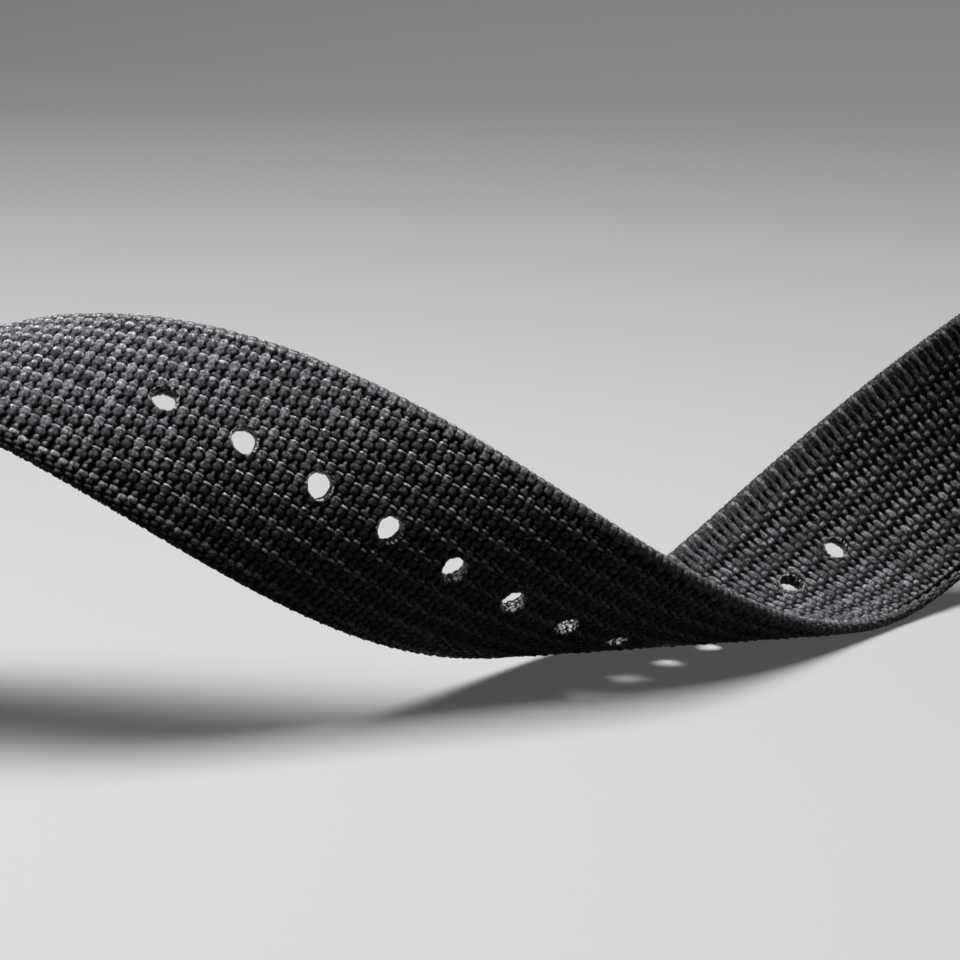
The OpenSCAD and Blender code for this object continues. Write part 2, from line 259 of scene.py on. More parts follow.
def lower_blocks(u, v):
    """Small blocks close to the lower edge of the outer face, and low bars beside them."""
    cloth = bare(u)
    for hop in (-1, 0, 1):
        pick, du = nearest_pick(u, v, hop)
        du = du + 0.08 * (lot("shift", pick, pick + 7) - 0.5)
        step = 0.20 * np.mod(pick, 2) + 0.08 * (lot("sway", pick, pick) - 0.5)
        # Each shine below is a painted highlight.
        lobe = lump(du + 0.1, v + 8.12 + 0.5 * step, long=0.30, wide=0.26, high=0.92, sharp=0.4)
        cloth = lay(cloth, lobe, 0.15)
        high = 0.92 + 0.14 * lot("height", pick, pick)
        block = lump(du, v + 8.58 + step, long=0.44, wide=0.27, high=high, sharp=0.3, corner=2.8)
        cloth = lay(cloth, block, 0.1 + 0.6 * lot("shine", pick, pick))
        bar = lump(du + 0.2, v + 9.05 + step, long=0.38, wide=0.24, high=0.84, sharp=0.35)
        cloth = lay(cloth, bar, 0.2 * lot("glint", pick, pick))
        bar = lump(du, v + 9.48 + step, long=0.40, wide=0.22, high=0.78, sharp=0.35)
        cloth = lay(cloth, bar, 0.0)
    return cloth


def relief(u, v, w):
    """How high the threads stand at a flat place, from 0 to about 1, and how they look: painted shade and
    painted highlight for the colour.
    """
    # The arc runs round an edge, from nought where the outer face ends.
    beyond = np.abs(v) - edge_centre
    flat = beyond < 0
    outer = w > 0
    arc = half_thick * np.arctan2(np.clip(beyond, 0, None), w)
    arc = np.where(flat, np.where(outer, beyond, edge_turn - beyond), arc)

    # Each part of the section has its own threads, and the later ones take its place.
    blocked = outer & (v < -7.98)
    ribbed = (v < 0) & (arc > 0.45) & (arc < edge_turn + 2.2) & (~outer | ~flat)
    barred = (v > 0) & (arc > -0.62) & (arc < edge_turn + 0.5)
    cloth = [np.where(outer, a, b) for a, b in zip(outer_weave(u, v), inner_weave(u, v))]
    cloth = [np.where(blocked, a, b) for a, b in zip(lower_blocks(u, v), cloth)]
    cloth = [np.where(ribbed, a, b) for a, b in zip(lower_ribs(u, arc), cloth)]
    high, second, glow = [np.where(barred, a, b) for a, b in zip(upper_bars(u, arc), cloth)]

    # Painted shade: the colour turns dark in the cracks where two threads meet, and in what lies deep.
    crack = smooth_step(high - second, np.where(outer, 0.08, 0.03), np.where(outer, 0.50, 0.26))
    painted_depth_shade = smooth_step(high, np.where(outer, 0.34, 0.26), np.where(outer, 0.76, 0.62)) ** 1.5
    tone = (0.01 + 0.99 * crack) * painted_depth_shade * np.where(outer, 1.0, 0.9)
    # Dullness below nought darkens a whole thread, a tone that differs at random.
    tone = tone * (1 + 1.1 * np.clip(glow, -0.6, 0))
    # The painted highlight stays on the tops, away from the cracks.
    glow = np.clip(glow, 0, 1) * crack * smooth_step(high, 0.5, 0.8)
    return high - 0.35 * (1 - crack) * (high > 0.5), tone, glow


# The route of the long strap: flat along the table, then the curl of the free end.
# Each pair starts with tens of millimetres past the lift. A bend is in degrees per ten
# millimetres, and a lean says how far the line of the bend runs along for each step across.

lift_start = 88
flat_end = 80
route_end = 296
main_z = 5.175
bends = [[0, 0], [1, -25], [2, -23], [3, -2.5], [4, 19], [5, 25.5], [6.2, 18], [7.7, 15],
         [9.7, 10.5], [11.7, 9.5], [13.7, 12], [15.7, 17], [17.4, 12], [19.2, 5.5]]
leans = [[-0.8, 0], [0, 0.15], [4, 0.15], [5, 0.4], [6.2, 0.95], [7.7, 1.45], [9.7, 1.55],
         [11.7, 1.6], [13.7, 1.5], [15.7, 1.2], [17.4, 0.85], [19.2, 0.9]]


def bend_at(s):
    """Degrees of bend in each millimetre along."""
    return np.interp((s - lift_start) / 10, [b[0] for b in bends], [b[1] for b in bends]) / 10


def lean_at(s):
    """How far the bend's line runs along for each millimetre across."""
    return np.interp((s - lift_start) / 10, [b[0] for b in leans], [b[1] for b in leans])


def turned(v, a, w):
    """Vectors v turned about the unit axes a by w degrees."""
    w = np.radians(w)[:, None]
    along = np.sum(a * v, axis=1)[:, None]
    return v * np.cos(w) + np.cross(a, v) * np.sin(w) + a * along * (1 - np.cos(w))


def onward(place, s, d):
    """The centre, heading, inward normal and side direction d further along from s."""
    centre, along, inward, aside = place
    lean = lean_at(s + d / 2)
    size = np.hypot(lean, 1)
    axis = (lean[:, None] * along + aside) / size[:, None]
    w = bend_at(s + d / 2) * d * size
    return [centre + d[:, None] * turned(along, axis, w / 2), turned(along, axis, w),
            turned(inward, axis, w), turned(aside, axis, w)]


place = [np.array([[flat_end, 0, main_z]], float), np.array([[1.0, 0, 0]]),
         np.array([[0, 0, -1.0]]), np.array([[0, 1.0, 0]])]
stops = [np.concatenate(place)]
for s in range(flat_end, route_end):
    place = onward(place, np.array([float(s)]), np.array([1.0]))
    stops.append(np.concatenate(place))
stops = np.array(stops)


def curled(u, v, w):
    """Flat places past the flat part, bent into the curl along straight, leaning lines."""
    s = u.copy()
    for repeat in range(12):
        slope = (lean_at(s + 0.01) - lean_at(s - 0.01)) / 0.02
        s = s - (s + lean_at(s) * v - u) / (1 + slope * v)
    whole = np.clip(np.floor(s), flat_end, route_end - 2)
    at = stops[(whole - flat_end).astype(int)]
    centre, along, inward, aside = onward([at[:, 0], at[:, 1], at[:, 2], at[:, 3]], whole, s - whole)
    line = aside + lean_at(s)[:, None] * along
    return centre + v[:, None] * line - w[:, None] * inward


def route(moves, start, heading, d, v, w, side):
    """Flat places set along straight runs and arcs, d from the start, w out on the given side."""
    x, z = start
    out = np.zeros((len(d), 3))
    passed = 0.0
    for count, (length, turn) in enumerate(moves):
        last = count == len(moves) - 1
        here = (d >= passed) & ((d < passed + length) | last)
        if count == 0:
            here = here | (d < 0)
        t = (d[here] - passed) / length
        swing = np.radians(turn)
        if abs(turn) < 0.001:
            px = x + length * t * math.cos(heading)
            pz = z + length * t * math.sin(heading)
            x, z = x + length * math.cos(heading), z + length * math.sin(heading)
            look = heading + 0 * t
        else:
            r = length / swing
            look = heading + swing * t
            px = x + r * (np.sin(look) - math.sin(heading))
            pz = z - r * (np.cos(look) - math.cos(heading))
            x = x + r * (math.sin(heading + swing) - math.sin(heading))
            z = z - r * (math.cos(heading + swing) - math.cos(heading))
        out[here, 0] = px - side * np.sin(look) * w[here]
        out[here, 1] = v[here]
        out[here, 2] = pz + side * np.cos(look) * w[here]
        heading = heading + swing
        passed = passed + length
    return out


def arc(radius, degrees):
    """One move of a route: how long the arc is and how far it turns."""
    return [radius * math.radians(abs(degrees)), degrees]


# Under the buckle: round the bar, then back with a pocket for each keeper's lower bar.
layer = 1.35
pocket_dip = 1.8
fold_radius = 1.675
bend_radius = 1.6
near_keeper_x = 11
far_keeper_x = 24
tail_end_x = 37
neck = math.degrees(math.acos(1 - (2 * fold_radius - layer) / (fold_radius + bend_radius)))
dip = math.degrees(math.acos(1 - pocket_dip / (2 * bend_radius)))
pocket_half = 2 * bend_radius * math.sin(math.radians(dip))
neck_x = (fold_radius + bend_radius) * math.sin(math.radians(neck))
pocket = [arc(bend_radius, -dip), arc(bend_radius, 2 * dip), arc(bend_radius, -dip)]
under_buckle = ([[flat_end, 0], arc(fold_radius, 180 + neck), arc(bend_radius, -neck),
                 [near_keeper_x - pocket_half - neck_x, 0]] + pocket
                + [[far_keeper_x - near_keeper_x - 2 * pocket_half, 0]] + pocket
                + [[tail_end_x - far_keeper_x - pocket_half, 0]])
tail_u = flat_end - sum(move[0] for move in under_buckle)


def long_route(u, v, w):
    """The long strap's flat places where they lie in the finished strap."""
    out = np.zeros((len(u), 3))
    far = u >= flat_end
    out[far] = curled(u[far], v[far], w[far])
    back = ~far
    out[back] = route(under_buckle, (flat_end, main_z), math.pi, flat_end - u[back], v[back], w[back],
                      side=-1)
    return out


def section(outer_columns, inner_columns, edge_columns):
    """Stations round the webbing: the middle of its lower edge, over both faces and back."""
    half = edge_columns // 2
    angle = np.concatenate([np.linspace(180, 90, half, endpoint=False), np.full(outer_columns, 90.0),
                            np.linspace(90, -90, edge_columns, endpoint=False),
                            np.full(inner_columns, -90.0), np.linspace(-90, -180, half + 1)])
    centre = np.concatenate([np.full(half, -edge_centre),
                             np.linspace(-edge_centre, edge_centre, outer_columns, endpoint=False),
                             np.full(edge_columns, edge_centre),
                             np.linspace(edge_centre, -edge_centre, inner_columns, endpoint=False),
                             np.full(half + 1, -edge_centre)])
    return centre, np.radians(angle)


def set_places(mesh, places):
    """Moves all points of a mesh at once."""
    mesh.vertices.foreach_set("co", np.asarray(places, np.float32).ravel())


def get_places(mesh):
    """The places of all points of a mesh."""
    places = np.empty(len(mesh.vertices) * 3, np.float32)
    mesh.vertices.foreach_get("co", places)
    return places.reshape(-1, 3).astype(float)


# The free end is cut round. A hot knife rounds the cut ends over half a millimetre.
strap_length = 280
tip_radius = 12
tip_centre = strap_length - tip_radius
cut_round = 0.5


def rounding(part):
    """A quarter circle: 0 at 0, steep at first, and 1 from 1 on."""
    return np.sqrt(np.clip(1 - (1 - np.clip(part, 0, 1)) ** 2, 0, 1))


def flat_webbing(name, start, end, rows, columns, cut_start=False, cut_end=False, tip=False):
    """A closed length of webbing, still flat, in millimetres: along X, across Y, thick in Z."""
    centre, angle = section(*columns)
    shape = bmesh.new()
    bmesh.ops.create_grid(shape, x_segments=rows, y_segments=len(angle) - 1, size=0.5)
    mesh = bpy.data.meshes.new(name)
    shape.to_mesh(mesh)
    grid = get_places(mesh)
    row = grid[:, 0] + 0.5
    station = np.rint((grid[:, 1] + 0.5) * (len(angle) - 1)).astype(int)
    u = start + (end - start) * row
    v = centre[station] + half_thick * np.cos(angle[station])
    w = half_thick * np.sin(angle[station])
    if tip:
        sag = tip_radius - np.sqrt(tip_radius ** 2 - np.clip(v, -10.1, 10.1) ** 2)
        u = u - sag * smooth_step(u, start + 4, end)
    reach = (end - start) * row
    if cut_start:
        w = w * rounding(reach / cut_round)
    if cut_end:
        w = w * rounding((end - start - reach) / cut_round)
    set_places(mesh, np.stack([u, v, w], 1))
    shape.clear()
    shape.from_mesh(mesh)
    bmesh.ops.remove_doubles(shape, verts=shape.verts[:], dist=0.004)
    return shape, mesh


def opening(u, v):
    """Distance outside the nearest round hole or the slot for the tang, negative inside."""
    along = np.abs(u - slot_middle)
    inside = np.maximum(along - slot_half, np.abs(v) - slot_half_width)
    corner = (along > slot_half - slot_corner) & (np.abs(v) > slot_end_half)
    rounded = np.hypot(along - slot_half + slot_corner, np.abs(v) - slot_end_half) - slot_corner
    near = np.where(corner, rounded, inside)
    for hole in holes:
        turn = np.arctan2(v, u - hole)
        ragged = 0.035 * np.sin(3 * turn + hole) + 0.025 * np.sin(7 * turn + 2 * hole)
        near = np.minimum(near, np.hypot(u - hole, v) - hole_radius - ragged)
    return near


def melt_open(shape, start, end):
    """Opens both faces at the holes and the slot, and joins the rims with a melted wall."""
    for middle in holes + [slot_middle]:
        reach = slot_half if middle == slot_middle else hole_radius
        if not start + reach < middle < end - reach:
            continue
        near = [p for p in shape.verts if abs(p.co.x - middle) < reach + 0.5 and abs(p.co.y) < 2]
        gap = opening(np.array([p.co.x for p in near]), np.array([p.co.y for p in near]))
        inside = {p for p, g in zip(near, gap) if g < 0}
        faces = [f for p in inside for f in p.link_faces if all(q in inside for q in f.verts)]
        bmesh.ops.delete(shape, geom=list(set(faces)), context="FACES")
        rim = [e for e in shape.edges if e.is_boundary and abs(e.verts[0].co.x - middle) < reach + 0.5
               and abs(e.verts[0].co.y) < 2]
        for point in {p for e in rim for p in e.verts}:
            for repeat in range(3):
                here, right, up = opening(np.array([point.co.x, point.co.x + 0.02, point.co.x]),
                                          np.array([point.co.y, point.co.y, point.co.y + 0.02]))
                slope = np.array([right - here, up - here]) / 0.02
                slope = slope / max(np.dot(slope, slope), 0.2)
                point.co.x -= here * slope[0]
                point.co.y -= here * slope[1]
        wall = bmesh.ops.bridge_loops(shape, edges=rim)
        bmesh.ops.subdivide_edges(shape, edges=wall["edges"], cuts=5)


def raise_threads(flat, pressed, level):
    """Moves flat places out to the threads' surface.

    Heat has run the threads together where pressed is 1, and level is how high they are left."""
    u, v, w = flat.T
    beyond = np.clip(np.abs(v) - edge_centre, 0, None) * np.sign(v)
    size = np.hypot(beyond, w)
    side = np.where(size > 1e-6, beyond / np.maximum(size, 1e-6), 0)
    out = np.where(size > 1e-6, w / np.maximum(size, 1e-6), 0)
    high, tone, glow = relief(u, v, w)

    # The hot punch and knife leave a narrow seared rim with a rounded, uneven lip.
    rim = opening(u, v)
    seared = 1 - smooth_step(rim, 0.09, 0.21)
    melt = np.maximum(pressed, seared)
    uneven = np.sin(9.1 * u + 5.3 * v) * np.sin(8.3 * v - 6.7 * u)
    lip = rounding(rim / 0.15)
    smooth = np.where(rim < 0.5, 0.30 + (0.75 + 0.20 * uneven) * lip, level + 0.05 * uneven)
    high = high * (1 - melt) + smooth * melt
    lift = (thread_height * high - ground_depth) * smooth_step(size / half_thick, 0.2, 0.9)

    # The wall of an opening is melted into lumps, which fill it a little.
    wall = rim < 0.04
    lift = np.where(wall, lift * np.abs(w) / half_thick, lift)
    past_hole = np.mod(u, hole_pitch)
    turn = np.arctan2(v, past_hole - np.where(past_hole > hole_pitch / 2, hole_pitch, 0))
    puff = np.where(wall & (u > 150), 0.06 * (1 - np.abs(w) / half_thick), 0)
    puff = puff * (np.sin(7 * turn + 6 * w + u) - 0.4)
    moved = np.stack([u + puff * np.cos(turn), v + puff * np.sin(turn) + side * lift, w + out * lift], 1)

    # Painted glints: the melted walls are painted white in the holes near 199 mm along, and at the edges of
    # all.
    streaks_and_glints = 0.15 + 0.75 * np.exp(-((u - 199) / 13) ** 2)
    painted_white_glints = seared * np.maximum(streaks_and_glints, (np.abs(w) / half_thick) ** 4) + 0.15 * (1 - seared)
    return moved, tone * (1 - melt) + 0.25 * melt, glow * (1 - melt) + painted_white_glints * melt, melt


def add(name, data):
    """Puts a mesh, a lamp or a camera into the scene."""
    thing = bpy.data.objects.new(name, data)
    bpy.context.scene.collection.objects.link(thing)
    return thing


def finish_webbing(name, shape, mesh, bent, pressed_at, ends):
    """Puts the threads on the flat webbing, bends it along its route and makes the piece."""
    bmesh.ops.holes_fill(shape, edges=[e for e in shape.edges if e.is_boundary], sides=0)
    bmesh.ops.recalc_face_normals(shape, faces=shape.faces[:])
    shape.to_mesh(mesh)
    shape.free()
    flat = get_places(mesh)
    moved, tone, glow, melt = raise_threads(flat, *pressed_at(flat))
    places = bent(*moved.T)
    set_places(mesh, (places + [bar_x / mm, bar_y / mm, 0]) * mm)
    normals = np.zeros((len(flat), 3))
    for end in ends:
        edge = np.abs(flat[:, 0] - end) < 0.001
        if edge.any():
            normals[edge] = joint_normals(flat[edge], bent, pressed_at)
    woven = mesh.attributes.new("woven", "FLOAT_VECTOR", "POINT")
    woven.data.foreach_set("vector", np.asarray(flat, np.float32).ravel())
    # The looks carry the painted shade, the painted highlight and how melted each place is.
    looks = mesh.attributes.new("looks", "FLOAT_VECTOR", "POINT")
    looks.data.foreach_set("vector", np.asarray(np.stack([tone, glow, melt], 1), np.float32).ravel())
    mesh.shade_smooth()
    mesh.update()
    mesh.normals_split_custom_set_from_vertices(normals.tolist())
    mesh.materials.append(nylon)
    mesh.materials.append(melted)
    corners = np.empty(len(mesh.loops), np.int32)
    mesh.loops.foreach_get("vertex_index", corners)
    firsts = np.empty(len(mesh.polygons), np.int32)
    mesh.polygons.foreach_get("loop_start", firsts)
    glazed = np.add.reduceat(melt[corners], firsts) > 0.55 * np.diff(np.append(firsts, len(corners)))
    mesh.polygons.foreach_set("material_index", glazed.astype(np.int32))
    piece = add(name, mesh)
    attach(piece, "strap")
    return piece


# The mesh is finest where the photograph looks closely, with ten rows to a pick.
tail_step = 0.25
flat_step = 0.146
lift_step = 0.175
fine_step = 0.0875
fine_from = 129


def joint_normals(flat, bent, pressed_at):
    """Normals where two lengths meet, taken from the shape itself so that no line shows."""
    u, v, w = flat.T
    fine = u[0] > fine_from
    step = fine_step if fine else flat_step
    side = 0.085 if fine else 0.1
    angle = np.arctan2(w, np.clip(np.abs(v) - edge_centre, 0, None) * np.sign(v))
    flat_part = np.abs(v) < edge_centre
    dv = np.where(flat_part, 1.0, -np.sin(angle))
    dw = np.where(flat_part, 0.0, np.cos(angle))
    found = []
    for along, aside in ((step, 0), (-step, 0), (0, side), (0, -side)):
        near = np.stack([u + along, v + aside * dv, w + aside * dw], 1)
        found.append(bent(*raise_threads(near, *pressed_at(near))[0].T))
    normal = np.cross(found[0] - found[1], found[2] - found[3])
    middle = bent(u, v * 0.98, w * 0)
    surface = bent(u, v, w)
    outward = np.sign(np.sum(normal * (surface - middle), axis=1))
    return normal * outward[:, None] / np.linalg.norm(normal, axis=1)[:, None]


def colour(hexed):
    """An sRGB hex colour as the linear colour that the shaders take."""
    parts = [int(hexed[k:k + 2], 16) / 255 for k in (1, 3, 5)]
    return [c / 12.92 if c <= 0.04045 else ((c + 0.055) / 1.055) ** 2.4 for c in parts] + [1.0]


def node(tree, kind, links=(), **settings):
    """Adds one node, sets it up and feeds its inputs."""
    new = tree.nodes.new(kind)
    for key, value in settings.items():
        setattr(new, key, value)
    for socket, source in links:
        if hasattr(source, "links"):
            tree.links.new(source, new.inputs[socket])
        else:
            new.inputs[socket].default_value = source
    return new


def blank_material(name):
    """A new material with no nodes yet, and its tree."""
    material = bpy.data.materials.new(name)
    material.use_nodes = True
    material.node_tree.nodes.clear()
    return material, material.node_tree


def noise(tree, place, scale, detail=2.0):
    """Soft lumps, as many to the unit as scale says."""
    made = node(tree, "ShaderNodeTexNoise", [("Vector", place), ("Scale", scale), ("Detail", detail)])
    return made.outputs["Fac"]


def spread(tree, source, low, high, first, last):
    """A value from low to high, spread evenly from first to last."""
    made = node(tree, "ShaderNodeMapRange", [(0, source), (1, low), (2, high), (3, first), (4, last)])
    return made.outputs[0]


def mixed(tree, factor, first, last):
    """A colour between two others."""
    made = node(tree, "ShaderNodeMix", [("Factor", factor), ("A", first), ("B", last)], data_type="RGBA")
    return made.outputs["Result"]


def bumped(tree, source, strength, distance):
    """A shading normal that follows a height."""
    made = node(tree, "ShaderNodeBump", [("Height", source), ("Strength", strength), ("Distance", distance)])
    return made.outputs[0]


# Woven nylon: near-black multifilament yarn with a soft sheen on each knuckle.
# Its colour has painted shade in the gaps and deep places, painted highlights on the upper sides, dashes and
# specks, and fine filament streaks; the eye gets mid grey glints and black gaps.
nylon, tree = blank_material("woven_black_nylon")
woven = node(tree, "ShaderNodeAttribute", attribute_name="woven").outputs["Vector"]
looks = node(tree, "ShaderNodeAttribute", attribute_name="looks")
split = node(tree, "ShaderNodeSeparateXYZ", [(0, looks.outputs["Vector"])])
drawn_out = node(tree, "ShaderNodeMapping", [(0, woven), (3, (9.0, 1.6, 9.0))])
streaks = noise(tree, drawn_out.outputs[0], 1.0, 3.0)
# Painted shade: the tone takes the colour to black in the cracks and deep places.
painted_shade_ramp = node(tree, "ShaderNodeValToRGB", [(0, split.outputs["X"])])
painted_shade_ramp.color_ramp.elements[0].color = colour("#020203")
painted_shade_ramp.color_ramp.elements[1].color = colour("#5f5e62")
# Painted highlight: the glow mixes the colour towards pale grey.
bright = mixed(tree, split.outputs["Y"], painted_shade_ramp.outputs[0], colour("#d8d6dc"))
# Fine filament streaks, and painted specks of highlight up to twice as bright.
streaks_and_glints = spread(tree, streaks, 0.35, 0.65, 0.45, 1.45)
painted_specks = spread(tree, noise(tree, woven, 3.6, 3.0), 0.40, 0.68, 0.62, 2.2)
streaks_and_painted_specks = node(tree, "ShaderNodeMath", [(0, streaks_and_glints), (1, painted_specks)], operation="MULTIPLY")
yarn = node(tree, "ShaderNodeVectorMath", [(0, bright), (1, streaks_and_painted_specks.outputs[0])], operation="MULTIPLY")
surface = node(tree, "ShaderNodeBsdfPrincipled", [
    ("Base Color", yarn.outputs[0]), ("Roughness", spread(tree, split.outputs["Z"], 0.0, 1.0, 0.42, 0.2)),
    ("IOR", 1.53), ("Specular IOR Level", 0.045), ("Normal", bumped(tree, streaks, 0.6, 0.00008))])
node(tree, "ShaderNodeOutputMaterial", [("Surface", surface.outputs[0])])

# Melted nylon: the same yarn run together by the hot punch or knife, hard and glassy.
# Its white specks and glints, 0.25 mm across, are painted highlights on rims and walls that are else black.
melted, tree = blank_material("melted_black_nylon")
woven = node(tree, "ShaderNodeAttribute", attribute_name="woven").outputs["Vector"]
looks = node(tree, "ShaderNodeAttribute", attribute_name="looks")
split = node(tree, "ShaderNodeSeparateXYZ", [(0, looks.outputs["Vector"])])
lumps = noise(tree, woven, 3.8)
# Painted glints: white flecks where the noise is high, weighted by the glint value.
flecks = spread(tree, lumps, 0.50, 0.57, 0.0, 1.0)
painted_white_glints = node(tree, "ShaderNodeMath", [(0, flecks), (1, split.outputs["Y"])], operation="MULTIPLY")
tint = mixed(tree, painted_white_glints.outputs[0], colour("#121214"), colour("#f2f1ee"))
surface = node(tree, "ShaderNodeBsdfPrincipled", [
    ("Base Color", tint), ("Roughness", spread(tree, lumps, 0.0, 1.0, 0.15, 0.4)), ("IOR", 1.53),
    ("Specular IOR Level", 0.2), ("Normal", bumped(tree, lumps, 0.7, 0.0001))])
node(tree, "ShaderNodeOutputMaterial", [("Surface", surface.outputs[0])])

# The long strap is made in lengths: the name, where it ends, the step from row to row, and the
# columns over the outer face, the inner face and each edge, finer where the photograph looks.
tail_columns = (95, 20, 12)
flat_columns = (190, 30, 12)
lift_columns = (150, 95, 12)
fine_outer = (222, 84, 18)
fine_both = (222, 222, 18)
fine_inner = (84, 222, 18)
lengths = [("tail", -10.5, tail_step, tail_columns), ("fold", 8.75, flat_step, flat_columns),
           ("flat_1", 41, flat_step, flat_columns), ("flat_2", 73.5, flat_step, flat_columns),
           ("lift", 129.5, lift_step, lift_columns), ("shoulder", 150.5, fine_step, fine_outer),
           ("curl_1", 171.5, fine_step, fine_outer), ("curl_2", 192.5, fine_step, fine_outer),
           ("curl_3", 213.5, fine_step, fine_outer), ("under_1", 227.5, fine_step, fine_both),
           ("under_2", 241.5, fine_step, fine_both), ("rise", 262.5, fine_step, fine_inner),
           ("tip", strap_length, fine_step, fine_inner)]
joints = [end for name, end, step, columns in lengths[:-1]]

# A weld joins the layers: the pressed face keeps its weave half, the joined faces lose it.
weld_length = 4
weld_width = 17
near_weld = 15.5
far_weld = 31.5
ring_weld = 71.5
pressed_part = 0.52
joined_level = 1.16
cut_level = 0.80


def weld_at(x, v, first):
    """1 inside the weld that starts at first, and 0 outside it."""
    past_end = weld_length / 2 - np.abs(x - first - weld_length / 2)
    past_side = weld_width / 2 - np.abs(v)
    return smooth_step(past_end, -0.1, 0.2) * smooth_step(past_side, -0.1, 0.2)


def weld_pits(x, v):
    """The pressed face that the welding head leaves: small pits, 1 mm apart."""
    return 0.30 + 0.30 * np.clip(np.sin(2 * math.pi * x) * np.sin(2 * math.pi * v) + 0.4, 0, 1)


def heat(x, v, weld, joined, to_cut):
    """How far heat ran the threads together, and how high it left them."""
    level = np.where(weld > 0, np.where(joined, joined_level, weld_pits(x, v)), cut_level)
    cut = 1 - smooth_step(to_cut, 0.35, 0.9)
    return np.maximum(cut, weld * np.where(joined, 1.0, pressed_part)), level


def long_heat(flat):
    """The heat on the long strap: its cut ends, and the welds of the tail and under it."""
    u, v, w = flat.T
    to_tip = np.where(u > tip_centre, tip_radius - np.hypot(u - tip_centre, v), tip_radius)
    x = np.where(u < flat_end, long_route(u, 0 * v, 0 * w)[:, 0], 0)
    under = weld_at(x, v, far_weld)
    joined = (w < 0) | ((u < 0) & (under > 0))
    return heat(x, v, np.maximum(weld_at(x, v, near_weld), under), joined, np.minimum(to_tip, u - tail_u))


start = tail_u
for name, end, step, columns in lengths:
    rows = round((end - start) / step)
    shape, mesh = flat_webbing(f"long_strap_{name}", start, end, rows, columns,
                               cut_start=name == "tail", cut_end=name == "tip", tip=name == "tip")
    melt_open(shape, start, end)
    piece = finish_webbing(f"long_strap_{name}", shape, mesh, long_route, long_heat, joints)
    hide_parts("long_strap")
    start = end


# Short strap.
# A second length of the same webbing, welded under the tail and folded round the ring's
# lower bar, then welded back to itself. It is what the watch case slides onto.

short_start_x = 29.5
short_z = 2.475
short_joint = 36
short_step = 0.25
short_columns = (95, 95, 12)
ring_x = 82
ring_z = 2.225
fold_back = 12
ring_dip = math.degrees(math.acos(1 - (short_z - ring_z + bend_radius) / (2 * bend_radius)))
to_ring = [[ring_x - 2 * bend_radius * math.sin(math.radians(ring_dip)) - short_start_x, 0],
           arc(bend_radius, -ring_dip), arc(bend_radius, 180 + ring_dip), [fold_back, 0]]
short_length = sum(move[0] for move in to_ring)


def short_route(u, v, w):
    """The short strap's flat places where they lie in the finished strap."""
    return route(to_ring, (short_start_x, short_z), 0.0, u, v, w, side=1)


def short_heat(flat):
    """The heat on the short strap: its cut ends, and its welds to the tail and to itself."""
    u, v, w = flat.T
    x = short_route(u, 0 * v, 0 * w)[:, 0]
    weld = np.maximum(weld_at(x, v, far_weld), weld_at(x, v, ring_weld))
    return heat(x, v, weld, w > 0, np.minimum(u, short_length - u))


for name, start, end in (("under", 0, short_joint), ("ring_end", short_joint, short_length)):
    rows = round((end - start) / short_step)
    shape, mesh = flat_webbing(f"short_strap_{name}", start, end, rows, short_columns,
                               cut_start=name == "under", cut_end=name == "ring_end")
    piece = finish_webbing(f"short_strap_{name}", shape, mesh, short_route, short_heat, [short_joint])
    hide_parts("short_strap")


# Keepers and ring.
# Three loops of 1.6 mm stainless wire, bent square and butt welded. The keepers turn in
# pockets of the folded strap, and the ring turns in the fold of the short strap.

# Tumbled wire: a soft satin shine, with fine marks 0.15 mm across that break up the glints.
steel, tree = blank_material("satin_stainless_steel")
place_on = node(tree, "ShaderNodeTexCoord").outputs["Object"]
grain = noise(tree, place_on, 6500.0, 1.0)
patches = noise(tree, place_on, 700.0)
tint = mixed(tree, patches, colour("#c3c2bf"), colour("#d4d3cf"))
surface = node(tree, "ShaderNodeBsdfPrincipled", [
    ("Base Color", tint), ("Metallic", 1.0), ("Roughness", spread(tree, patches, 0.3, 0.7, 0.22, 0.32)),
    ("Normal", bumped(tree, grain, 0.08, 0.00001))])
node(tree, "ShaderNodeOutputMaterial", [("Surface", surface.outputs[0])])


def fitting(solid, name, body, ease, side=0):
    """A fitting's solid, or its half on one side of the middle, with eased edges and smooth curves."""
    shape = bmesh.new()
    shape.from_mesh(bpy.data.objects[solid].data)
    bmesh.ops.remove_doubles(shape, verts=shape.verts[:], dist=0.000002)
    if side:
        bmesh.ops.bisect_plane(shape, geom=shape.verts[:] + shape.edges[:] + shape.faces[:],
                               plane_co=(bar_x, bar_y, 0), plane_no=(0, side, 0), clear_inner=True)
        bmesh.ops.holes_fill(shape, edges=[e for e in shape.edges if e.is_boundary], sides=0)
    bmesh.ops.dissolve_limit(shape, angle_limit=math.radians(0.3), verts=shape.verts[:],
                             edges=shape.edges[:])
    hard = [e for e in shape.edges if len(e.link_faces) == 2 and e.calc_face_angle() > math.radians(40)]
    if hard:
        bmesh.ops.bevel(shape, geom=hard, offset=ease, offset_type="OFFSET", affect="EDGES", segments=2,
                        profile=0.5, material=-1, clamp_overlap=True)
    mesh = bpy.data.meshes.new(name)
    shape.to_mesh(mesh)
    shape.free()
    mesh.shade_smooth()
    mesh.set_sharp_from_angle(angle=math.radians(50))
    mesh.materials.append(steel)
    piece = add(name, mesh)
    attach(piece, body)
    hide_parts(solid)
    return piece


fitting("keeper_near", "keeper_near_wire", "loop_near", 0.05 * mm)
fitting("keeper_far", "keeper_far_wire", "loop_far", 0.05 * mm)
fitting("strap_ring", "strap_ring_wire", "loop_ring", 0.05 * mm)


# Spring bar.
# A turned steel tube in the fold of the long strap, its mouths rolled in over two sprung pins
# that hold the buckle.

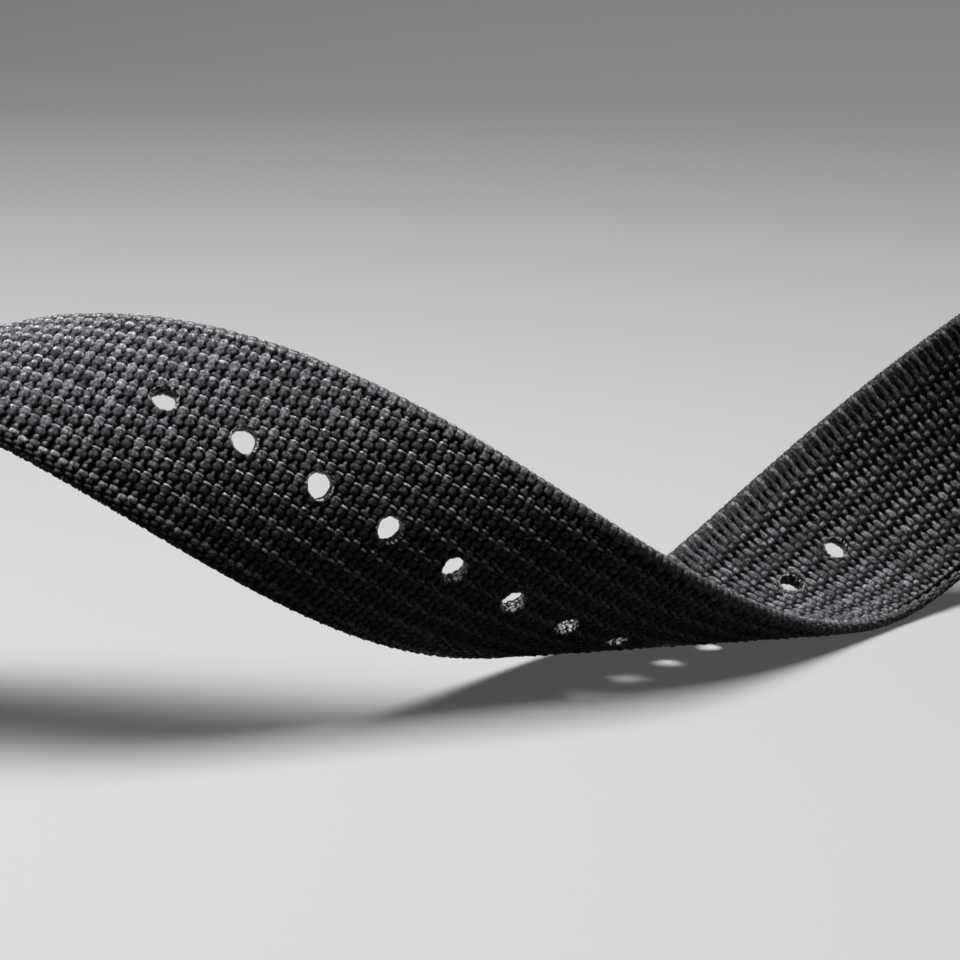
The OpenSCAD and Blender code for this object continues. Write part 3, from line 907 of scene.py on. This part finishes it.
fitting("spring_bar_tube", "spring_bar_tube_turned", "strap", 0.05 * mm)
fitting("spring_bar_pin_left", "spring_bar_pin_left_turned", "pin_left", 0.06 * mm)
fitting("spring_bar_pin_right", "spring_bar_pin_right_turned", "pin_right", 0.06 * mm)

# The coil spring inside the tube, in two halves, each with a mesh of its own.
for side, name in ((-1, "left"), (1, "right")):
    piece = fitting("spring_bar_spring", f"spring_bar_spring_{name}", "strap", 0.02 * mm, side)
    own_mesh(piece)


# Buckle and tang.
# The frame is bent from round steel wire, with a bored lug at each end for the spring bar's pin.
# The tang is a loop round the bar and a straight finger that rests in the front bar's notch.

fitting("buckle_frame", "buckle_frame_wire", "buckle", 0.08 * mm)
fitting("tang", "tang_wire", "buckle_tang", 0.06 * mm)


# Floor, backdrop and light.
# A plain pale sheet that curves up behind, a soft panel overhead and a faint one in front.

shape = bmesh.new()
bmesh.ops.create_grid(shape, x_segments=1, y_segments=40, size=1.6)
sweep_start = 0.5
sweep_radius = 0.55
floor_drop = 0.0001
for point in shape.verts:
    back = point.co.y - sweep_start
    if back > 0:
        point.co.z = 0.5 * back * back / sweep_radius
    point.co.z -= floor_drop
floor_mesh = bpy.data.meshes.new("floor")
shape.to_mesh(floor_mesh)
shape.free()
floor_mesh.shade_smooth()
floor = add("floor", floor_mesh)


def seen_directly(tree):
    """1 where the camera looks, also in a shine, and 0 for the light that falls on the piece."""
    ray = node(tree, "ShaderNodeLightPath")
    kinds_of_ray = [(0, ray.outputs["Is Camera Ray"]), (1, ray.outputs["Is Glossy Ray"])]
    either = node(tree, "ShaderNodeMath", kinds_of_ray, operation="MAXIMUM")
    return either.outputs[0]


# Pale paper: matt, without a pattern. It looks pale but throws little light back at the strap,
# because the photograph's table is dark. The eye gets an even light grey and a soft shadow.
paper, tree = blank_material("pale_paper")
seen = seen_directly(tree)
tint = mixed(tree, seen, colour("#1c1c1c"), colour("#d9dad9"))
matt = node(tree, "ShaderNodeBsdfDiffuse", [("Color", tint)])
faint = node(tree, "ShaderNodeMath", [(0, seen), (1, 0.10)], operation="MULTIPLY")
own = node(tree, "ShaderNodeEmission", [("Color", colour("#d9dad9")), ("Strength", faint.outputs[0])])
surface = node(tree, "ShaderNodeAddShader", [(0, matt.outputs[0]), (1, own.outputs[0])])
node(tree, "ShaderNodeOutputMaterial", [("Surface", surface.outputs[0])])
floor_mesh.materials.append(paper)

world = bpy.data.worlds.new("studio")
bpy.context.scene.world = world
world.use_nodes = True
tree = world.node_tree
air = tree.nodes["Background"]
air.inputs[0].default_value = colour("#b8babc")
tree.links.new(spread(tree, seen_directly(tree), 0.0, 1.0, 0.02, 0.30), air.inputs[1])


def panel(name, place, aim, wide, painted_depth_shade, power):
    """A soft rectangular lamp that faces a point."""
    lamp = bpy.data.lights.new(name, "AREA")
    lamp.shape = "RECTANGLE"
    lamp.size = wide
    lamp.size_y = painted_depth_shade
    lamp.energy = power
    thing = add(name, lamp)
    thing.location = place
    thing.rotation_euler = (Vector(aim) - Vector(place)).to_track_quat("-Z", "Y").to_euler()


panel("overhead_panel", (-0.05, -0.10, 0.53), (0.06, 0.01, 0.02), 0.34, 0.34, 3.1)
panel("front_fill", (0.3, -0.7, 0.5), (0.06, 0, 0.02), 0.8, 0.6, 0.03)

# The camera stands where the photograph was taken from, low and in front.
camera_data = bpy.data.cameras.new("camera")
camera_data.sensor_width = 36
camera_data.lens = 125.5
camera_data.clip_start = 0.01
camera_data.clip_end = 10
camera = add("camera", camera_data)
ahead = Vector((-0.29877, 0.93318, -0.19978)).normalized()
up = Vector((-0.06092, 0.19026, 0.97984)).normalized()
side = ahead.cross(up).normalized()
up = side.cross(ahead)
turn = Matrix((side, up, -ahead)).transposed().to_4x4()
camera.matrix_world = Matrix.Translation((bar_x + 0.254439, bar_y - 0.235922, 0.073927)) @ turn
bpy.context.scene.camera = camera
bpy.context.scene.view_settings.view_transform = "Standard"
